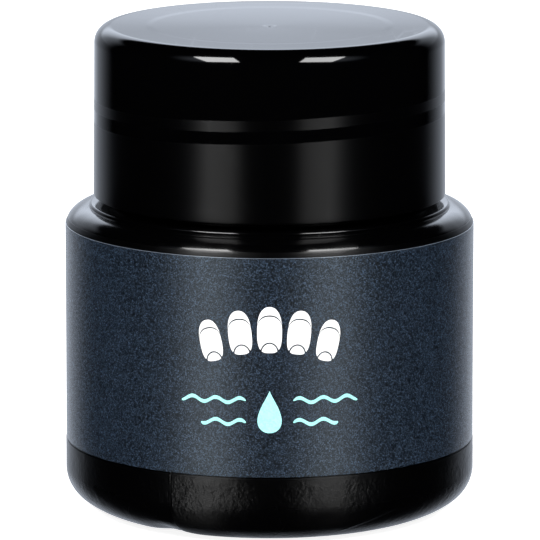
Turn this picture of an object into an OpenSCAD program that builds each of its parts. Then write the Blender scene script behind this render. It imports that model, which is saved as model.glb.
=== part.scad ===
// Nail polish remover jar with a foam plug: a blow-moulded jar, its wrap label,
// the foam plug with a finger hole, a screw cap and the sealing wad in the cap.
// Millimetres. The jar stands on z = 0 with its axis on Z, and -Y is the front.

/* [Jar body] */
// Outside diameter at the heel
body_d = 58.3; // [54:0.1:66]
// Height of the flat shoulder above the base
shoulder_z = 43.6; // [38:0.1:60]
// Wall of the jar body
wall = 1.2; // [0.9:0.05:1.7]
// How far the label panel lies inside the heel, on the radius
panel_recess = 0.2; // [0.15:0.05:0.5]
// Radius of the shoulder where it leaves the side
shoulder_side_r = 2; // [1.8:0.1:3]
// Radius of the shoulder where it turns flat
shoulder_top_r = 3.55; // [2:0.05:4.5]
// Angle at which the shoulder changes radius
shoulder_turn = 42; // [30:1:60]

/* [Heel and base] */
// Radius of the heel where it leaves the side
heel_side_r = 4.8; // [3:0.1:7]
// Radius of the heel where it meets the standing ring
heel_floor_r = 10.6; // [7:0.1:13]
// Angle at which the heel changes radius
heel_turn = 55; // [40:1:70]
// Width of the flat standing ring
stand_w = 3; // [2:0.1:5]
// Rise of the middle of the base
push_up = 1.6; // [1:0.1:3]
// Width of the slope from the standing ring to the middle of the base
push_up_w = 3.5; // [2:0.1:6]
// Height of the pinch-off seam across the middle of the base
pinch_h = 0.4; // [0.2:0.05:0.8]
// Width of the pinch-off seam
pinch_w = 0.9; // [0.5:0.1:2]
// Direction of the mould's parting plane, from +X towards +Y
parting_turn = 240; // [0:5:355]

/* [Neck] */
// Width of the shoulder from the side to the ring at the foot of the neck
shoulder_w = 3.35; // [3.2:0.05:5]
// Height of the ring at the foot of the neck
ring_h = 0.6; // [0.4:0.05:1.5]
// Rounding of the ring's upper edge
ring_edge_r = 0.3; // [0.1:0.05:0.4]
// Wall of the neck
neck_wall = 1.25; // [0.9:0.05:1.8]
// Rounding of the rim
rim_r = 0.4; // [0.2:0.05:0.45]

/* [Thread] */
// Rise of the thread in one turn
thread_pitch = 4.23; // [3.6:0.01:5]
// Height of both threads above their walls
thread_depth = 1; // [0.6:0.05:1.3]
// Axial width of a thread at its foot
thread_foot_w = 2.2; // [1.4:0.1:2.4]
// Axial width of a thread at its crest
thread_crest_w = 1.2; // [0.6:0.1:1.3]
// Turns of each thread
thread_turns = 1.5; // [1:0.25:2]
// Radial gap between a crest and the wall across from it
thread_clear = 0.3; // [0.2:0.05:0.5]
// Distance from the cap's lower edge to the end of its thread
cap_thread_h = 14.5; // [12:0.1:16]
// Turn at which the cap's thread ends, from +X towards +Y
thread_end_turn = 250; // [0:5:355]

/* [Cap] */
// Height of the cap
cap_h = 24.3; // [22:0.1:30]
// How far the ring at the foot of the neck stands out past the cap
ring_reveal = 0.55; // [0.2:0.05:1]
// Wall of the cap's skirt
cap_wall = 1; // [0.8:0.05:1.5]
// Thickness of the cap's top
cap_top_t = 1.3; // [1:0.1:2]
// Rounding of the cap's upper edge
cap_edge_r = 2.4; // [1:0.1:3]
// How much narrower the cap is at its top, on the radius
cap_draft = 0.17; // [0:0.01:0.3]
// Gap between the cap's lower edge and the ring
cap_gap = 1; // [0.5:0.1:2]
// Fillet inside the cap, between its wall and its top
cap_fillet_r = 1; // [0.5:0.1:1.5]
// Radius of the shallow dish in the cap's top
dish_r = 17; // [10:0.5:20]
// Depth of that dish
dish_depth = 0.12; // [0.05:0.01:0.3]

/* [Liner] */
// Thickness of the sealing wad
liner_t = 1; // [0.6:0.1:2]
// Gap above and below the wad, which the tightened cap takes up
liner_play = 0.1; // [0.05:0.05:0.3]

/* [Label] */
// Height of the label's lower edge above the base
label_z = 10.25; // [9:0.05:14]
// How far the label's upper edge passes the top of the straight side
label_lap = 0.2; // [0:0.05:0.3]
// Thickness of the label
label_t = 0.12; // [0.06:0.01:0.15]
// Adhesive between the label and the panel
label_glue = 0.03; // [0.02:0.01:0.04]
// Width of the gap between the label's ends, at the back
label_gap_w = 3; // [1:0.5:8]

/* [Foam plug] */
// Diameter of the foam plug inside the body
sponge_d = 50; // [46:0.5:54]
// Gap between the foam and the walls of the jar
sponge_clear = 0.3; // [0.2:0.05:0.6]
// Depth of the foam below the rim, at its edge
sponge_drop = 7; // [5:0.5:15]
// Rise of the foam's middle in the mouth of the jar
sponge_crown = 1.5; // [0.5:0.1:3]
// Diameter of the finger hole
finger_d = 14; // [11:0.5:18]
// Rounding of the finger hole's lip
finger_lip_r = 1.5; // [0.5:0.1:3]

/* [Hidden] */
$fn = 120;
// Degrees between the points of a drawn arc
arc_step = 5;
// Degrees between the rings of a thread, and the turn over which its ends fade
thread_step = 10;
thread_fade = 30;
// How deep a thread's foot is sunk into its wall
thread_sink = 0.4;
// Chamfer at the lower edge of the label panel
panel_margin = 0.25;
// How far a cutter reaches past what it cuts
over = 1;
// How far each end of the pinch-off seam stops short of the slope
pinch_margin = 1;

heel_r = body_d / 2;
panel_r = heel_r - panel_recess;
side_top_z = shoulder_z - shoulder_rise(shoulder_side_r, shoulder_top_r);
panel_z = label_z - panel_margin;

ring_r = panel_r - shoulder_w;
cap_skirt_r = ring_r - ring_reveal;
cap_in_r = cap_skirt_r - cap_wall;
neck_crest_r = cap_in_r - thread_clear;
neck_r = neck_crest_r - thread_depth;
bore_r = neck_r - neck_wall;

ring_z = shoulder_z + ring_h;
cap_z = ring_z + cap_gap;
cap_top_z = cap_z + cap_h;
ceiling_z = cap_top_z - cap_top_t;
liner_z = ceiling_z - liner_play - liner_t;
rim_z = liner_z - liner_play;

cap_top_r = cap_skirt_r - cap_draft;
liner_r = cap_in_r - cap_fillet_r;
cap_thread_z = cap_z + cap_thread_h - thread_foot_w / 2 - thread_turns * thread_pitch;
neck_thread_z = cap_thread_z + thread_pitch / 2;
thread_start_turn = thread_end_turn - 360 * thread_turns;

label_in_r = panel_r + label_glue;
label_r = label_in_r + label_t;
label_h = side_top_z + label_lap - label_z;

// Points of an arc round (x, z) from angle a to angle b
function arc(x, z, r, a, b) =
    let (n = max(6, ceil(abs(b - a) / arc_step)))
    [for (i = [0:n]) let (t = a + (b - a) * i / n) [x + r * cos(t), z + r * sin(t)]];

// How far two radii that meet at the turn angle climb, and how far they draw in
function shoulder_rise(r1, r2) = r1 * sin(shoulder_turn) + r2 * (1 - sin(shoulder_turn));
function heel_draw(r1, r2) = r1 * (1 - cos(heel_turn)) + r2 * cos(heel_turn);
function heel_rise(r1, r2) = r1 * sin(heel_turn) + r2 * (1 - sin(heel_turn));

stand_r = heel_r - heel_draw(heel_side_r, heel_floor_r);
base_mid_r = stand_r - stand_w - push_up_w;
heel_z = heel_rise(heel_side_r, heel_floor_r);
// Centre of the heel's floor radius and of the shoulder's top radius
heel_floor_c = [stand_r, heel_floor_r];
heel_side_c = [heel_r - heel_side_r, heel_z];
shoulder_side_c = [panel_r - shoulder_side_r, side_top_z];
shoulder_top_c = shoulder_side_c
    + (shoulder_side_r - shoulder_top_r) * [cos(shoulder_turn), sin(shoulder_turn)];

// A radius on a line that is moved in by d
function inset(r, d) = max(0.05, r - d);

// The jar's outline from the middle of the base to the shoulder, moved in by d
function base_line(d) = [
    [0, push_up + d],
    [base_mid_r, push_up + d],
    [stand_r - stand_w, d]
];
function heel_line(d) = concat(
    arc(heel_floor_c.x, heel_floor_c.y, inset(heel_floor_r, d), -90, -heel_turn),
    arc(heel_side_c.x, heel_side_c.y, inset(heel_side_r, d), -heel_turn, 0)
);
function side_line(d) = [
    [heel_r - d, panel_z - panel_recess],
    [panel_r - d, panel_z]
];
function shoulder_line(d) = concat(
    arc(shoulder_side_c.x, shoulder_side_c.y, inset(shoulder_side_r, d), 0, shoulder_turn),
    arc(shoulder_top_c.x, shoulder_top_c.y, inset(shoulder_top_r, d), shoulder_turn, 90)
);
function body_line(d) = concat(base_line(d), heel_line(d), side_line(d), shoulder_line(d));

// Reverses a list of points
function back(line) = [for (i = [len(line) - 1:-1:0]) line[i]];

// A helical ridge from turn angle a over some turns; way is 1 outwards, -1 inwards
module thread(wall_r, way, z) {
    rings = ceil(360 * thread_turns / thread_step);
    depth = [for (i = [0:rings])
        let (near_end = min(i, rings - i) * 360 * thread_turns / rings)
        -thread_sink / 2 + (thread_depth + thread_sink / 2) * min(1, near_end / thread_fade)];
    points = [for (i = [0:rings])
        let (turn = 360 * thread_turns * i / rings,
             a = thread_start_turn + turn,
             h = z + thread_pitch * turn / 360,
             foot = wall_r - way * thread_sink,
             crest = wall_r + way * depth[i])
        for (q = [[foot, -thread_foot_w], [crest, -thread_crest_w],
                  [crest, thread_crest_w], [foot, thread_foot_w]])
        [q[0] * cos(a), q[0] * sin(a), h + q[1] / 2]];
    sides = [for (i = [0:rings - 1]) for (k = [0:3])
        let (m = 4 * i, n = (k + 1) % 4) [m + k, m + n, m + 4 + n, m + 4 + k]];
    ends = [[3, 2, 1, 0], [4 * rings, 4 * rings + 1, 4 * rings + 2, 4 * rings + 3]];
    faces = concat(sides, ends);
    polyhedron(points, way > 0 ? faces : [for (f = faces) back(f)]);
}

// The raised seam that the closed mould leaves across the base
module pinch_off() {
    length = 2 * (base_mid_r - pinch_margin);
    rotate([0, 0, parting_turn])
    translate([-length / 2, -pinch_w / 2, push_up - pinch_h])
    cube([length, pinch_w, pinch_h + wall / 2]);
}

// The jar: body, shoulder, ring, neck, rim and thread in one moulding
module jar() {
    outer = concat(
        body_line(0),
        [[ring_r, shoulder_z]],
        arc(ring_r - ring_edge_r, ring_z - ring_edge_r, ring_edge_r, 0, 90),
        [[neck_r, ring_z]],
        arc(neck_r - rim_r, rim_z - rim_r, rim_r, 0, 90)
    );
    inner = concat(body_line(wall), [[bore_r, shoulder_z - wall], [bore_r, rim_z]]);
    color([0.03, 0.03, 0.035]) {
        rotate_extrude() polygon(concat(outer, back(inner)));
        thread(neck_r, 1, neck_thread_z);
        pinch_off();
    }
}

// The label: a thin sleeve round the panel, open by a gap at the back
module label() {
    color([0.16, 0.19, 0.23])
    translate([0, 0, label_z])
    difference() {
        cylinder(h = label_h, r = label_r);
        translate([0, 0, -over]) cylinder(h = label_h + 2 * over, r = label_in_r);
        translate([-label_gap_w / 2, 0, -over]) cube([label_gap_w, heel_r + over, label_h + 2 * over]);
    }
}

// The foam plug stands on the base, and the neck squeezes its upper part
module sponge() {
    gap = wall + sponge_clear;
    sponge_r = sponge_d / 2;
    mouth_r = bore_r - sponge_clear;
    squeeze_r = sponge_r - mouth_r;
    squeeze_z = shoulder_z - gap - squeeze_r;
    top_z = rim_z - sponge_drop;
    crown_r = (mouth_r * mouth_r + sponge_crown * sponge_crown) / (2 * sponge_crown);
    crown_turn = asin(mouth_r / crown_r);
    crown_z = top_z + sponge_crown;
    hole_r = finger_d / 2;
    color([0.86, 0.85, 0.8])
    difference() {
        rotate_extrude() intersection() {
            polygon(concat(
                [[0, 0], [sponge_r, 0]],
                arc(mouth_r, squeeze_z, squeeze_r, 0, 90),
                arc(0, crown_z - crown_r, crown_r, 90 - crown_turn, 90)
            ));
            polygon(concat(base_line(gap), heel_line(gap), [[heel_r, crown_z + over], [0, crown_z + over]]));
        }
        translate([0, 0, -over]) cylinder(h = crown_z + 2 * over, r = hole_r);
        rotate_extrude() translate([hole_r, 0]) difference() {
            translate([-over, crown_z - finger_lip_r]) square([over + finger_lip_r, finger_lip_r + over]);
            translate([finger_lip_r, crown_z - finger_lip_r]) circle(finger_lip_r);
        }
    }
}

// The sealing wad lies loose under the cap's top
module cap_liner() {
    color([0.93, 0.93, 0.91])
    translate([0, 0, liner_z]) cylinder(h = liner_t, r = liner_r);
}

// The cap: a smooth skirt with a rounded top, a shallow dish and the inner thread
module cap() {
    skirt_edge_r = cap_wall / 4;
    outer = concat(
        arc(cap_skirt_r - skirt_edge_r, cap_z + skirt_edge_r, skirt_edge_r, -90, 0),
        arc(cap_top_r - cap_edge_r, cap_top_z - cap_edge_r, cap_edge_r, 0, 90),
        [[dish_r, cap_top_z], [dish_r - 2 * dish_depth, cap_top_z - dish_depth], [0, cap_top_z - dish_depth]]
    );
    inner = concat(
        [[0, ceiling_z]],
        back(arc(cap_in_r - cap_fillet_r, ceiling_z - cap_fillet_r, cap_fillet_r, 0, 90)),
        [[cap_in_r, cap_z + skirt_edge_r], [cap_in_r + skirt_edge_r, cap_z]]
    );
    color([0.02, 0.02, 0.025]) {
        rotate_extrude() polygon(concat(outer, inner));
        thread(cap_in_r, -1, cap_thread_z);
    }
}

jar();
label();
sponge();
cap_liner();
cap();
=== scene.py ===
# %% [markdown]
# A small screw-cap jar that holds a foam plug soaked in nail polish remover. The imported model
# gives the fixed frame: five nodes, three bodies and the screw motion of the cap. Everything
# below is looks. Each plastic piece is built again as a finer mesh with the small marks that
# moulding leaves, because black gloss shows every flat facet as a broken reflection.

# %% Load the frame
import math

import bpy
from mathutils import Matrix, Vector, noise


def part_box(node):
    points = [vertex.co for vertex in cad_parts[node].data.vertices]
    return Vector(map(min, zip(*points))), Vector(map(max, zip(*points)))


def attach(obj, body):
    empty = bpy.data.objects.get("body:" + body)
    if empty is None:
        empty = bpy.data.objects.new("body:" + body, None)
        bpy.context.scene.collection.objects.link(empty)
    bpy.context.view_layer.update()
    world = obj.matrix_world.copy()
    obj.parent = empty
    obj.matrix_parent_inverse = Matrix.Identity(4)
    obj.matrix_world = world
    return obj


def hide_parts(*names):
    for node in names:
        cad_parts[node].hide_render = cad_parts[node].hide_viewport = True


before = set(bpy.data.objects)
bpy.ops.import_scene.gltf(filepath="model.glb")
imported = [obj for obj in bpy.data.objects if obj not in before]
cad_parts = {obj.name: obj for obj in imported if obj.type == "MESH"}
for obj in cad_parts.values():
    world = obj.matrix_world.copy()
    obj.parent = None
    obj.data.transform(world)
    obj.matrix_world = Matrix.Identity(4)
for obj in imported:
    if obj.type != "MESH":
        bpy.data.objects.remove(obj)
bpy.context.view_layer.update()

MM = 0.001

# %% [markdown]
# The camera stands where the photographer's stood: far off, a little above the jar, with a long
# lens, so that the sides of the jar stay almost parallel. The distance, the tilt and the lens
# were worked out from the ellipses of the label's edges.

# %% Camera
CAMERA_AWAY = 0.9155
CAMERA_TILT = math.radians(10.944)
CAMERA_LENS = 427.5
CAMERA_FAR = 20
LOOK_AT = Vector((0.00006, 0, 0.03405))


def from_front(turn, rise):
    """A direction, turned from the camera's side towards +X and raised above the floor."""
    return Vector((math.cos(rise) * math.sin(turn), -math.cos(rise) * math.cos(turn), math.sin(rise)))


camera = bpy.data.objects.new("camera", bpy.data.cameras.new("camera"))
camera.data.lens = CAMERA_LENS
camera.data.clip_end = CAMERA_FAR
camera.location = LOOK_AT + CAMERA_AWAY * from_front(0, CAMERA_TILT)
camera.rotation_euler = (math.radians(90) - CAMERA_TILT, 0, 0)
bpy.context.scene.collection.objects.link(camera)
bpy.context.scene.camera = camera
bpy.context.scene.view_settings.view_transform = "Standard"
print("camera at", [round(c, 3) for c in camera.location])

# %% [markdown]
# A material is a formula made of nodes, and so are the surroundings. It could be drawn by hand
# in the shader editor, but its numbers would be hard to find again. Each helper here makes its
# nodes and gives back their output, so that a formula reads almost like arithmetic.

# %% Node helpers


def add(tree, kind, **settings):
    node = tree.nodes.new(kind)
    for name, value in settings.items():
        setattr(node, name, value)
    return node


def wire(tree, value, socket):
    """Joins an output to a socket, or sets the socket to a plain value."""
    if isinstance(value, bpy.types.NodeSocket):
        tree.links.new(value, socket)
    else:
        socket.default_value = value


def calc(tree, operation, *values):
    node = add(tree, "ShaderNodeMath", operation=operation)
    for value, socket in zip(values, node.inputs):
        wire(tree, value, socket)
    return node.outputs[0]


def times(tree, result, *others):
    for other in others:
        result = calc(tree, "MULTIPLY", result, other)
    return result


def plus(tree, result, *others):
    for other in others:
        result = calc(tree, "ADD", result, other)
    return result


# %% Places and ramps


def place(tree):
    """The point of the surface, in the object's own metres."""
    return add(tree, "ShaderNodeTexCoord").outputs["Object"]


def split(tree, vector):
    node = add(tree, "ShaderNodeSeparateXYZ")
    wire(tree, vector, node.inputs[0])
    return node.outputs


def ramp(tree, value, low, high, to_low=0.0, to_high=1.0, smooth=True):
    """Maps a value from one range to another, held at both ends."""
    node = add(tree, "ShaderNodeMapRange", interpolation_type="SMOOTHSTEP" if smooth else "LINEAR")
    for socket, given in zip(node.inputs, (value, low, high, to_low, to_high)):
        wire(tree, given, socket)
    return node.outputs[0]


def mm_ramp(tree, value, low, high, to_low=0.0, to_high=1.0):
    """A ramp between two places given in mm, for a value in metres."""
    return ramp(tree, value, low * MM, high * MM, to_low, to_high)


def degrees_ramp(tree, value, low, high, to_low=0.0, to_high=1.0):
    return ramp(tree, value, math.radians(low), math.radians(high), to_low, to_high)


# %% [markdown]
# Black gloss shows almost nothing of its own colour, so what surrounds it is what is seen. The
# surroundings here are a white backdrop of limited width behind the jar, darkness in front, a
# faint glow at each side, and two big softboxes high on the left and right. The backdrop could
# be a card, but a formula of direction gives it soft edges, and the camera itself can see plain
# white in its place. It is brightest straight behind, above the far edge of the table.

# %% Backdrop
BACKDROP_EDGE = math.cos(math.radians(56))
BACKDROP_TOP, BACKDROP_SOFT = 29, 3
BACKDROP_BOTTOM, BACKDROP_FULL = -60, -18
CENTRE_EDGE, CENTRE_FULL = math.cos(math.radians(30)), math.cos(math.radians(7))
TABLE_END, MIDDLE_START = -18, -9
WALL_START, WALL_FULL = 5, 13
TABLE_LIGHT = 0.8
MIDDLE_LIGHT, MIDDLE_CENTRE = 0.54, 0.8
WALL_LOW, WALL_LIGHT, WALL_CENTRE = 0.32, 0.8, 1.74
STRAIGHT_UP = 0.0001

world = bpy.data.worlds.new("studio")
bpy.context.scene.world = world
world.use_nodes = True
tree = world.node_tree
tree.nodes.clear()
x, y, z = split(tree, add(tree, "ShaderNodeTexCoord").outputs["Generated"])
flat = calc(tree, "SQRT", plus(tree, times(tree, x, x), times(tree, y, y)))
behind = calc(tree, "DIVIDE", y, calc(tree, "MAXIMUM", flat, STRAIGHT_UP))
rise = calc(tree, "ARCSINE", z)
across = ramp(tree, behind, BACKDROP_EDGE, 1.0)
upper = degrees_ramp(tree, rise, BACKDROP_TOP + BACKDROP_SOFT, BACKDROP_TOP - BACKDROP_SOFT)
lower = degrees_ramp(tree, rise, BACKDROP_BOTTOM, BACKDROP_FULL)
middle = ramp(tree, behind, CENTRE_EDGE, CENTRE_FULL, MIDDLE_LIGHT, MIDDLE_CENTRE)
high = ramp(tree, behind, CENTRE_EDGE, CENTRE_FULL, WALL_LIGHT, WALL_CENTRE)
table = degrees_ramp(tree, rise, TABLE_END, MIDDLE_START, TABLE_LIGHT, middle)
wall = degrees_ramp(tree, rise, WALL_START, WALL_FULL, WALL_LOW, high)
backdrop = times(tree, across, upper, lower, calc(tree, "MAXIMUM", table, wall))
print("backdrop reaches", BACKDROP_TOP, "degrees up")

# %% Side glow and world
BACKDROP_TINT = (0.90, 0.985, 1.13, 1)
GLOW_TURN = math.radians(51)
GLOW_RISE = math.radians(37)
GLOW_WIDE = math.radians(25)
GLOW_LIGHT, GLOW_POWER = 0.6, 3.0

glow_way = from_front(GLOW_TURN, GLOW_RISE)
near = times(tree, calc(tree, "ABSOLUTE", x), glow_way.x)
near = plus(tree, near, times(tree, y, glow_way.y), times(tree, z, glow_way.z))
near = ramp(tree, near, math.cos(GLOW_WIDE), 1.0, smooth=False)
glow = times(tree, calc(tree, "POWER", near, GLOW_POWER), GLOW_LIGHT)
seen = add(tree, "ShaderNodeBackground")
wire(tree, (1, 1, 1, 1), seen.inputs["Color"])
mirrored = add(tree, "ShaderNodeBackground")
wire(tree, BACKDROP_TINT, mirrored.inputs["Color"])
wire(tree, plus(tree, backdrop, glow), mirrored.inputs["Strength"])
choose = add(tree, "ShaderNodeMixShader")
wire(tree, add(tree, "ShaderNodeLightPath").outputs["Is Camera Ray"], choose.inputs[0])
wire(tree, mirrored.outputs[0], choose.inputs[1])
wire(tree, seen.outputs[0], choose.inputs[2])
wire(tree, choose.outputs[0], add(tree, "ShaderNodeOutputWorld").inputs[0])
print("surroundings:", len(tree.nodes), "nodes")

# %% [markdown]
# The softboxes make the two upright streaks on the label and the cap, and the short bright
# windows on the rounded edges. They could be part of the formula as well, but area lights are
# sampled with less noise. Both have the same size and height, and the right one is weaker.

# %% Softboxes
SOFTBOX_AWAY = 1.5
SOFTBOX_RADIANCE = 13
SOFTBOX_TURN = math.radians(40.5)
SOFTBOX_RISE = math.radians(43)
SOFTBOX_UP = Vector((0, 0.743, 0.669))
SOFTBOX_WIDE, SOFTBOX_TALL = 0.57, 0.78
RIGHT_SHARE = 0.88


def softbox(name, turn, share):
    light = bpy.data.lights.new(name, "AREA")
    light.shape = "RECTANGLE"
    light.size = SOFTBOX_WIDE
    light.size_y = SOFTBOX_TALL
    light.energy = share * SOFTBOX_RADIANCE * math.pi * SOFTBOX_WIDE * SOFTBOX_TALL
    box = bpy.data.objects.new(name, light)
    away = from_front(turn, SOFTBOX_RISE)
    across = SOFTBOX_UP.cross(away).normalized()
    box.location = LOOK_AT + SOFTBOX_AWAY * away
    box.rotation_euler = Matrix((across, away.cross(across), away)).transposed().to_euler()
    bpy.context.scene.collection.objects.link(box)


softbox("softbox_left", -SOFTBOX_TURN, 1.0)
softbox("softbox_right", SOFTBOX_TURN, RIGHT_SHARE)
print("softboxes", round(SOFTBOX_AWAY, 2), "m away")

# %% [markdown]
# The floor is a plain pale sheet. It is left out of reflections: the studio's table is dark in
# front of the jar, and a white floor there would turn the black heel grey.

# %% Floor
FLOOR_SIDE = 6.0
FLOOR_GREY = FLOOR_ROUGH = FLOOR_GLOW = 0.9
half = FLOOR_SIDE / 2
corners = [(-half, -half, 0), (half, -half, 0), (half, half, 0), (-half, half, 0)]
floor_mesh = bpy.data.meshes.new("floor")
floor_mesh.from_pydata(corners, [], [(0, 1, 2, 3)])
floor = bpy.data.objects.new("floor", floor_mesh)
bpy.context.scene.collection.objects.link(floor)
floor.visible_glossy = False
floor_look = bpy.data.materials.new("pale_floor")
floor_look.use_nodes = True
floor_bsdf = floor_look.node_tree.nodes["Principled BSDF"]
floor_bsdf.inputs["Base Color"].default_value = (FLOOR_GREY, FLOOR_GREY, FLOOR_GREY, 1)
floor_bsdf.inputs["Roughness"].default_value = FLOOR_ROUGH
floor_bsdf.inputs["Emission Color"].default_value = (1, 1, 1, 1)
floor_bsdf.inputs["Emission Strength"].default_value = FLOOR_GLOW
floor_mesh.materials.append(floor_look)
print("floor", FLOOR_SIDE, "m square")

# %% [markdown]
# Slow waves in a moulded skin, fine flecks and hairline handling marks are each wanted by more
# than one material. They could be painted on every piece, but as node groups they keep one rule
# for all, and a material only sets their sizes. The cap's dust is made the same way. A group puts
# out values, heights and masks, and the shader stays in the material.

# %% Group helpers


def group(name, inputs, outputs):
    tree = bpy.data.node_groups.new(name, "ShaderNodeTree")
    for label, value in inputs.items():
        socket = tree.interface.new_socket(label, in_out="INPUT", socket_type="NodeSocketFloat")
        socket.default_value = value
    for label in outputs:
        tree.interface.new_socket(label, in_out="OUTPUT", socket_type="NodeSocketFloat")
    return tree, add(tree, "NodeGroupInput").outputs, add(tree, "NodeGroupOutput").inputs


def noise_value(tree, position, scale, detail=2.0, roughness=0.5):
    node = add(tree, "ShaderNodeTexNoise")
    given = {"Vector": position, "Scale": scale, "Detail": detail, "Roughness": roughness}
    for label, value in given.items():
        wire(tree, value, node.inputs[label])
    return node.outputs["Fac"]


def per_metre(tree, size_mm):
    """The scale of a texture whose features have a size in mm."""
    return calc(tree, "DIVIDE", 1000, size_mm)


def cells(tree, position, size_mm, feature="F1"):
    """Voronoi cells of a size in mm."""
    node = add(tree, "ShaderNodeTexVoronoi", feature=feature)
    wire(tree, position, node.inputs["Vector"])
    wire(tree, per_metre(tree, size_mm), node.inputs["Scale"])
    return node.outputs


def chance(tree, colour):
    """One number from 0 to 1 that is different for each cell."""
    node = add(tree, "ShaderNodeSeparateColor")
    wire(tree, colour, node.inputs[0])
    return node.outputs[0]


# %% Waves and flecks


def make_waves():
    """Slow waves and orange peel, as a height from 0 to 1."""
    inputs = {"Wave Size mm": 4.0, "Peel Size mm": 0.6, "Peel Share": 0.3}
    tree, given, result = group("skin_waves", inputs, ["Height"])
    waves = noise_value(tree, place(tree), per_metre(tree, given["Wave Size mm"]), 1.0)
    peel = noise_value(tree, place(tree), per_metre(tree, given["Peel Size mm"]), 2.0)
    share = given["Peel Share"]
    slow = times(tree, waves, calc(tree, "SUBTRACT", 1, share))
    wire(tree, plus(tree, slow, times(tree, peel, share)), result["Height"])
    return tree


def make_flecks():
    """A value from 0 to 1 that jumps from fleck to fleck, and a height of small grains."""
    tree, given, result = group("fine_flecks", {"Size mm": 0.2, "Grain mm": 0.2}, ["Value", "Grain"])
    wire(tree, chance(tree, cells(tree, place(tree), given["Size mm"])["Color"]), result["Value"])
    grain = noise_value(tree, place(tree), per_metre(tree, given["Grain mm"]), 0.0)
    wire(tree, grain, result["Grain"])
    return tree


WAVES = make_waves()
FLECKS = make_flecks()
print("groups:", WAVES.name, FLECKS.name)

# %% Specks and hairlines
HAIRLINE_TURNS = (0.4, 1.9, 2.8)
HAIRLINE_STRETCH = 0.15
BREAK_SCALE, BREAK_LOW, BREAK_HIGH = 300, 0.55, 0.7


def make_specks():
    """Small separate specks, as a mask."""
    tree, given, result = group("dust_specks", {"Spacing mm": 1.0, "Size": 0.2, "Share": 0.1}, ["Mask"])
    found = cells(tree, place(tree), given["Spacing mm"])
    chosen = calc(tree, "LESS_THAN", chance(tree, found["Color"]), given["Share"])
    near = ramp(tree, found["Distance"], given["Size"], 0.0)
    wire(tree, times(tree, chosen, near), result["Mask"])
    return tree


def make_hairlines():
    """Fine broken scratches from handling in three directions, as a mask."""
    tree, given, result = group("hairlines", {"Spacing mm": 6.0, "Width": 0.02}, ["Mask"])
    total = None
    for turn in HAIRLINE_TURNS:
        mapping = add(tree, "ShaderNodeMapping")
        wire(tree, place(tree), mapping.inputs["Vector"])
        mapping.inputs["Rotation"].default_value = (turn, turn * 0.7, turn * 1.3)
        mapping.inputs["Scale"].default_value = (1, HAIRLINE_STRETCH, 1)
        far = cells(tree, mapping.outputs[0], given["Spacing mm"], "DISTANCE_TO_EDGE")["Distance"]
        line = ramp(tree, far, given["Width"], 0.0)
        broken = ramp(tree, noise_value(tree, mapping.outputs[0], BREAK_SCALE), BREAK_LOW, BREAK_HIGH)
        line = times(tree, line, broken)
        total = line if total is None else calc(tree, "MAXIMUM", total, line)
    wire(tree, total, result["Mask"])
    return tree


SPECKS = make_specks()
HAIRLINES = make_hairlines()
print("groups:", SPECKS.name, HAIRLINES.name)

# %% [markdown]
# Every finish here is one Principled BSDF: plain values are set on its own sockets, and formulas
# are joined to the rest. These helpers do what each material would otherwise repeat.

# %% Material helpers


def material(name, **settings):
    """A material with one Principled BSDF, its plain values set on the shader's own sockets."""
    look = bpy.data.materials.new(name)
    look.use_nodes = True
    shader = look.node_tree.nodes["Principled BSDF"]
    for label, value in settings.items():
        shader.inputs[label.replace("_", " ")].default_value = value
    return look, look.node_tree, shader


def placed(tree, made, **values):
    """A shared group in a material's tree, with its own values."""
    node = add(tree, "ShaderNodeGroup", node_tree=made)
    for label, value in values.items():
        wire(tree, value, node.inputs[label.replace("_", " ")])
    return node.outputs


def use(tree, made, **values):
    """The first output of a placed group."""
    return placed(tree, made, **values)[0]


def bump(tree, shader, height, distance_mm, strength=1.0):
    node = add(tree, "ShaderNodeBump")
    node.inputs["Strength"].default_value = strength
    node.inputs["Distance"].default_value = distance_mm * MM
    wire(tree, height, node.inputs["Height"])
    wire(tree, node.outputs[0], shader.inputs["Normal"])


def mix_colour(tree, share, low, high):
    node = add(tree, "ShaderNodeMix", data_type="RGBA")
    wire(tree, share, node.inputs[0])
    wire(tree, low, node.inputs[6])
    wire(tree, high, node.inputs[7])
    return node.outputs[2]


def mix_value(tree, share, low, high):
    node = add(tree, "ShaderNodeMix", data_type="FLOAT")
    wire(tree, share, node.inputs[0])
    wire(tree, low, node.inputs[2])
    wire(tree, high, node.inputs[3])
    return node.outputs[0]


def upright_grain(tree, shader):
    """Turns the satin's wide direction upright, as rubbing round the axis would leave it."""
    tangent = add(tree, "ShaderNodeTangent", direction_type="RADIAL", axis="Z")
    wire(tree, tangent.outputs[0], shader.inputs["Tangent"])


# %% [markdown]
# The jar, the foam, the wad and the cap are all round, so one helper turns an outline about the
# axis. A screw modifier could do it, but this helper takes a shaping function that may move any
# point, and so the threads, the parting line and the uneven skin are in one closed surface.

# %% Outlines
TURNS = 300
EVEN_TURNS = [2 * math.pi * k / TURNS for k in range(TURNS)]


def packed_turns(start, end, step):
    """Even angles round the axis, with closer ones between two angles where fine marks lie."""
    count = math.ceil((end - start) / step)
    close = [start + (end - start) * i / count for i in range(count)]
    return sorted([a for a in EVEN_TURNS if not start <= a <= end] + close)


def arc(x, z, r, start, end, step=5):
    """Points along an arc, its angles in degrees."""
    count = max(4, math.ceil(abs(end - start) / step))
    angles = [math.radians(start + (end - start) * i / count) for i in range(count + 1)]
    return [(x + r * math.cos(a), z + r * math.sin(a)) for a in angles]


def run(start, end, step):
    """Points along a straight stretch, without the first."""
    count = max(1, math.ceil(math.dist(start, end) / step))
    return [(start[0] + (end[0] - start[0]) * i / count, start[1] + (end[1] - start[1]) * i / count)
            for i in range(1, count + 1)]


def sine(a):
    return math.sin(math.radians(a))


def cosine(a):
    return math.cos(math.radians(a))


def fade(value):
    """A share held between 0 and 1."""
    return max(0.0, min(1.0, value))


print("points in a circle:", TURNS)

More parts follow.
